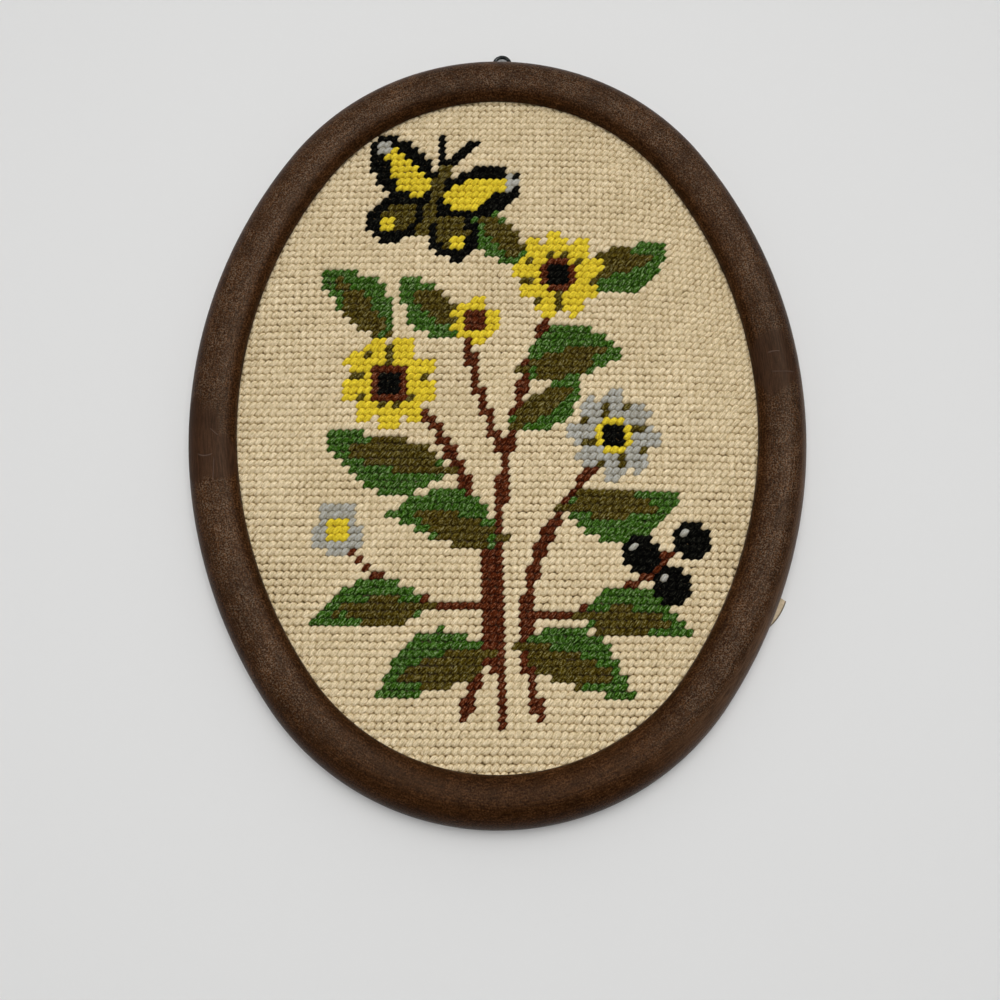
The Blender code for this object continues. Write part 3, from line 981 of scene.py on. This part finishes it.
# %% Join the stitches of each yarn
def join_stitches(name, chosen, material):
    """One mesh of all the chosen stitches, with their UVs, shades and levels."""
    picked = np.flatnonzero(chosen)
    per_bead = len(bead)
    places = all_places[picked].reshape(-1, 3)
    faces = [[corner + k * per_bead for corner in face] for k in range(len(picked)) for face in bead_faces]
    mesh = bpy.data.meshes.new(name)
    mesh.from_pydata(places, [], faces)
    uv = mesh.uv_layers.new(name="strand")
    spots = bead_uvs[None, :, :] + strand_offset[picked][:, None, :]
    uv.data.foreach_set("uv", spots.astype(np.float32).ravel())
    tone = mesh.attributes.new("shade", "FLOAT", "FACE")
    tone.data.foreach_set("value", np.repeat(shade[picked], len(bead_faces)).astype(np.float32))
    level = mesh.attributes.new("level", "FLOAT", "POINT")
    level.data.foreach_set("value", np.tile(bead[:, 2], len(picked)).astype(np.float32))
    mesh.shade_smooth()
    piece = add_object(name, mesh, material)
    dress(piece, "needlepoint")
    return piece


cream_wool = wool("cream_wool", *YARNS["cream"])
cream = yarn_of == YARN_ORDER.index("cream")
for band, low, high in (("top", 12, 60), ("middle", -14, 12), ("bottom", -60, -14)):
    chosen = cream & (row_of >= low) & (row_of < high)
    join_stitches(f"cream_stitches_{band}", chosen, cream_wool)
for index, yarn in enumerate(YARN_ORDER[1:], start=1):
    coloured_wool = wool(f"{yarn}_wool", *YARNS[yarn])
    join_stitches(f"{yarn}_stitches", yarn_of == index, coloured_wool)

# %% [markdown]
# ## The canvas
# Between the stitches, small dark slits show the canvas and its holes. The cloth is coloured
# a dark brown, far darker than canvas is, as painted shade for how it looks down in those
# slits. It is one thin sheet under all the wool, and on the real picture it is stretched
# over the board and trapped by the lip. The oval is drawn once and extruded inwards ring by
# ring, then each place is lifted to the swell, and Solidify gives the cloth its thickness.

# %% Canvas cloth
# Painted shade: both cloth colours are the canvas as it looks deep in the slits, darker than the cloth
# itself.
CLOTH_HOLE_SHADE = (0.030, 0.020, 0.009)
CLOTH_THREAD_SHADE = (0.12, 0.080, 0.036)
THREAD_SCALE = 0.318
canvas_cloth = new_material("canvas_cloth", CLOTH_THREAD_SHADE, 0.95, 0.2)
grid = add_node(canvas_cloth, "ShaderNodeUVMap", uv_map="lattice").outputs["UV"]
threads, cross_threads = (
    add_node(
        canvas_cloth, "ShaderNodeTexWave",
        {"Vector": grid, "Scale": THREAD_SCALE, "Distortion": 0.4, "Detail": 1.0},
        wave_type="BANDS", bands_direction=direction,
    ).outputs["Fac"]
    for direction in "XY"
)
weave = calculate(canvas_cloth, "MAXIMUM", threads, cross_threads)
shade_with(
    canvas_cloth,
    Base_Color=blend_colours(canvas_cloth, spread(canvas_cloth, weave, 0.2, 0.8), CLOTH_HOLE_SHADE, CLOTH_THREAD_SHADE),
    Normal=bump(canvas_cloth, weave, 0.6, 0.3 * MM),
)

# %% Flat oval, ring by ring
CANVAS_INSET = 12.2 * MM
RING_SIZES = [1 - 0.06 * step for step in range(1, 16)]


def only(kind, items):
    """The items of one kind, such as the edges that an operator made."""
    return [item for item in items if isinstance(item, kind)]


bm = bmesh.new()
rim = [bm.verts.new(place) for place in oval_outline(CANVAS_INSET, 40, 32)]
ring = [bm.edges.new(pair) for pair in zip(rim, rim[1:] + rim[:1])]
flat_middle = Vector((MIDDLE.x, MIDDLE.y, 0))
size = 1.0
for ring_size in RING_SIZES:
    made = bmesh.ops.extrude_edge_only(bm, edges=ring)["geom"]
    ring = [edge for edge in only(bmesh.types.BMEdge, made) if edge.is_boundary]
    shrink = (ring_size / size, ring_size / size, 1)
    around_middle = Matrix.Translation(-flat_middle)
    bmesh.ops.scale(bm, vec=shrink, space=around_middle, verts=only(bmesh.types.BMVert, made))
    size = ring_size
made = bmesh.ops.extrude_edge_only(bm, edges=ring)["geom"]
bmesh.ops.pointmerge(bm, verts=only(bmesh.types.BMVert, made), merge_co=flat_middle)
print("canvas rings:", len(RING_SIZES) + 1)

# %% [markdown]
# The weave has to follow the stitches, so the canvas gets a UV map that counts columns
# and rows of the lattice. Then each place is lifted to just below the stitches. An open
# sheet has no inside, so its faces are turned upwards before it gets its thickness.

# %% Lattice map and swell
CANVAS_DEPTH = 1.25 * MM
lattice_uv = bm.loops.layers.uv.new("lattice")
for face in bm.faces:
    for corner in face.loops:
        x, y, _ = corner.vert.co
        shift_x, shift_y = lattice_shift(np.array(x), np.array(y))
        column = (x - MIDDLE.x - shift_x) / COLUMN_PITCH
        row = (y - MIDDLE.y - shift_y) / ROW_PITCH
        corner[lattice_uv].uv = (column, row)
heights = stitch_top(*np.array([vert.co[:2] for vert in bm.verts]).T) - CANVAS_DEPTH
for vert, height in zip(bm.verts, heights):
    vert.co.z = height


def face_upwards(bm):
    """Turns all faces of an open sheet upwards."""
    bmesh.ops.recalc_face_normals(bm, faces=bm.faces)
    if sum(face.normal.z for face in bm.faces) < 0:
        bmesh.ops.reverse_faces(bm, faces=bm.faces)


face_upwards(bm)
CANVAS_AREA = sum(face.calc_area() for face in bm.faces)
print(f"canvas area {10000 * CANVAS_AREA:.0f} square cm")

# %% Canvas sheet
CANVAS_THICKNESS = 1.15 * MM


def thicken(piece, thickness, offset):
    """Gives a sheet its thickness: below its face for an offset of -1, above it for 1."""
    thick = piece.modifiers.new("thickness", "SOLIDIFY")
    thick.thickness = thickness
    thick.offset = offset


canvas = finish_mesh("canvas", bm, canvas_cloth)
thicken(canvas, CANVAS_THICKNESS, -1)
dress(canvas, "needlepoint")

# %% [markdown]
# ## The wire loop
# The picture hangs by a bent black wire whose two legs are pushed into the back edge. A
# bevelled curve would do, but spinning a small circle gives the bend directly, and
# extruding its two ends gives the straight legs.

# %% Wire finish
WIRE_BLACK = (0.005, 0.008, 0.008)
WIRE_SCUFFED = (0.03, 0.035, 0.033)
black_wire = new_material("black_wire", WIRE_BLACK, 0.32, 0.18)
scuffs = noise(black_wire, object_place(black_wire), 900.0, 3.0)
scuffed = spread(black_wire, scuffs, 0.5, 0.8, 0.0, 0.6)
shade_with(
    black_wire,
    Base_Color=blend_colours(black_wire, scuffed, WIRE_BLACK, WIRE_SCUFFED),
    Roughness=spread(black_wire, scuffs, 0.3, 0.8, 0.24, 0.5),
    Normal=bump(black_wire, scuffs, 0.2, 0.1 * MM),
)

# %% Wire loop
WIRE_SIDES = 16
BEND_STEPS = 28
WIRE_END_CORNER = math.radians(50)
bend_centre = Vector((LOOP_MIDDLE.x, loop_high.y - WIRE_RADIUS - BEND_RADIUS, LOOP_MIDDLE.z))
bm = bmesh.new()
stand_up = Matrix.Rotation(math.pi / 2, 4, "X")
section = bmesh.ops.create_circle(
    bm, segments=WIRE_SIDES, radius=WIRE_RADIUS,
    matrix=Matrix.Translation(bend_centre + Vector((BEND_RADIUS, 0, 0))) @ stand_up,
)["verts"]
first_end = list({edge for vert in section for edge in vert.link_edges})
last_end = only(bmesh.types.BMEdge, bmesh.ops.spin(
    bm, geom=section + first_end, cent=bend_centre, axis=(0, 0, 1), dvec=(0, 0, 0),
    angle=math.pi, steps=BEND_STEPS, use_merge=False, use_duplicate=False,
)["geom_last"])
for end in (first_end, last_end):
    made = bmesh.ops.extrude_edge_only(bm, edges=end)["geom"]
    leg = (0, loop_low.y - bend_centre.y, 0)
    bmesh.ops.translate(bm, verts=only(bmesh.types.BMVert, made), vec=leg)
    open_edges = [edge for edge in only(bmesh.types.BMEdge, made) if edge.is_boundary]
    bmesh.ops.contextual_create(bm, geom=open_edges)
bmesh.ops.recalc_face_normals(bm, faces=bm.faces)
wire = finish_mesh("wire_loop", bm, black_wire)
wire.data.set_sharp_from_angle(angle=WIRE_END_CORNER)
dress(wire, "hanging_loop")

# %% [markdown]
# ## The paper strip
# A strip of tan gummed paper crosses the back and its end sticks out at the lower right.
# Its end was cut by hand, a little round, and a dark band along it is painted shade, for
# its cut edge. A grid is bent to the strip's path, lying flat under the rail and then
# stepping up behind the board.

# %% Paper finish
PAPER_TAN = (0.52, 0.41, 0.26)
PAPER_PALE = (0.66, 0.52, 0.35)
PAPER_EDGE_SHADE = (0.14, 0.10, 0.06)
paper = new_material("gummed_paper", PAPER_TAN, 0.8, 0.3)
pulp = noise(paper, object_place(paper), 700.0, 4.0, 0.65)
strip_map = add_node(paper, "ShaderNodeUVMap", uv_map="strip").outputs["UV"]
from_end = add_node(paper, "ShaderNodeSeparateXYZ", {"Vector": strip_map}).outputs["X"]
paper_colour = blend_colours(paper, spread(paper, pulp, 0.3, 0.7), PAPER_TAN, PAPER_PALE)
# Painted shade: the last fraction of a millimetre at the end is darkened, as the cut edge in shade.
paper_colour = blend_colours(paper, spread(paper, from_end, 0.48, 0.20), paper_colour, PAPER_EDGE_SHADE)
shade_with(paper, Base_Color=paper_colour, Normal=bump(paper, pulp, 0.3, 0.1 * MM))

# %% Paper strip
TAPE_THICKNESS = 0.4 * MM
TAPE_LIFT = 0.1 * MM
TAPE_BACK = 2.0 * MM - TAPE_THICKNESS
TAPE_BULGE = 0.55 * MM
TAPE_TRIM = 0.90 * MM
TRIM_OFF_CENTRE = 0.22
TRIM_FADES = 6 * MM
STEP_START = 16.2 * MM
STEP_END = 19.0 * MM
bm = bmesh.new()
strip_size = Matrix.Diagonal((TAPE_LENGTH, TAPE_WIDTH, 1, 1))
flat_strip = Matrix.Translation((-TAPE_LENGTH / 2, 0, 0)) @ strip_size
bmesh.ops.create_grid(bm, x_segments=40, y_segments=10, size=0.5, matrix=flat_strip)
strip_uv = bm.loops.layers.uv.new("strip")
for face in bm.faces:
    for corner in face.loops:
        corner[strip_uv].uv = (-corner.vert.co.x / MM, corner.vert.co.y / MM)
for vert in bm.verts:
    from_tip = -vert.co.x
    sideways = 2 * vert.co.y / TAPE_WIDTH
    cut = TAPE_BULGE - TAPE_TRIM * (sideways - TRIM_OFF_CENTRE) ** 2
    up = min(max((from_tip - STEP_START) / (STEP_END - STEP_START), 0), 1)
    vert.co.x += cut * max(0, 1 - from_tip / TRIM_FADES)
    vert.co.z = TAPE_LIFT + (TAPE_BACK - TAPE_LIFT) * up
bmesh.ops.transform(bm, matrix=TAPE_PLACE, verts=bm.verts)
face_upwards(bm)
strip = finish_mesh("paper_strip", bm, paper)
thicken(strip, TAPE_THICKNESS, 1)
dress(strip, "paper_tape")

# %% [markdown]
# ## The board on the back
# The board behind the canvas is the model's own piece, which already has the right
# shape, so it only needs a finish: grey-brown card with specks and pressed fibres.

# %% Card on the board
CARD_BROWN = (0.30, 0.215, 0.14)
CARD_PALE = (0.345, 0.255, 0.17)
CARD_FLECK = (0.12, 0.08, 0.05)
card = new_material("backing_card", CARD_BROWN, 0.85, 0.3)
flecks = noise(card, object_place(card), 1400.0, 4.0, 0.7)
clouds = noise(card, object_place(card), 60.0, 3.0, 0.5)
card_colour = blend_colours(card, spread(card, clouds, 0.3, 0.7), CARD_BROWN, CARD_PALE)
card_colour = blend_colours(card, spread(card, flecks, 0.6, 0.75, 0.0, 0.5), card_colour, CARD_FLECK)
shade_with(card, Base_Color=card_colour, Normal=bump(card, flecks, 0.25, 0.1 * MM))
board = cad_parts["backing_board"]
for material_slot in board.material_slots:
    material_slot.material = card
print("board finish on", len(board.material_slots), "slot")
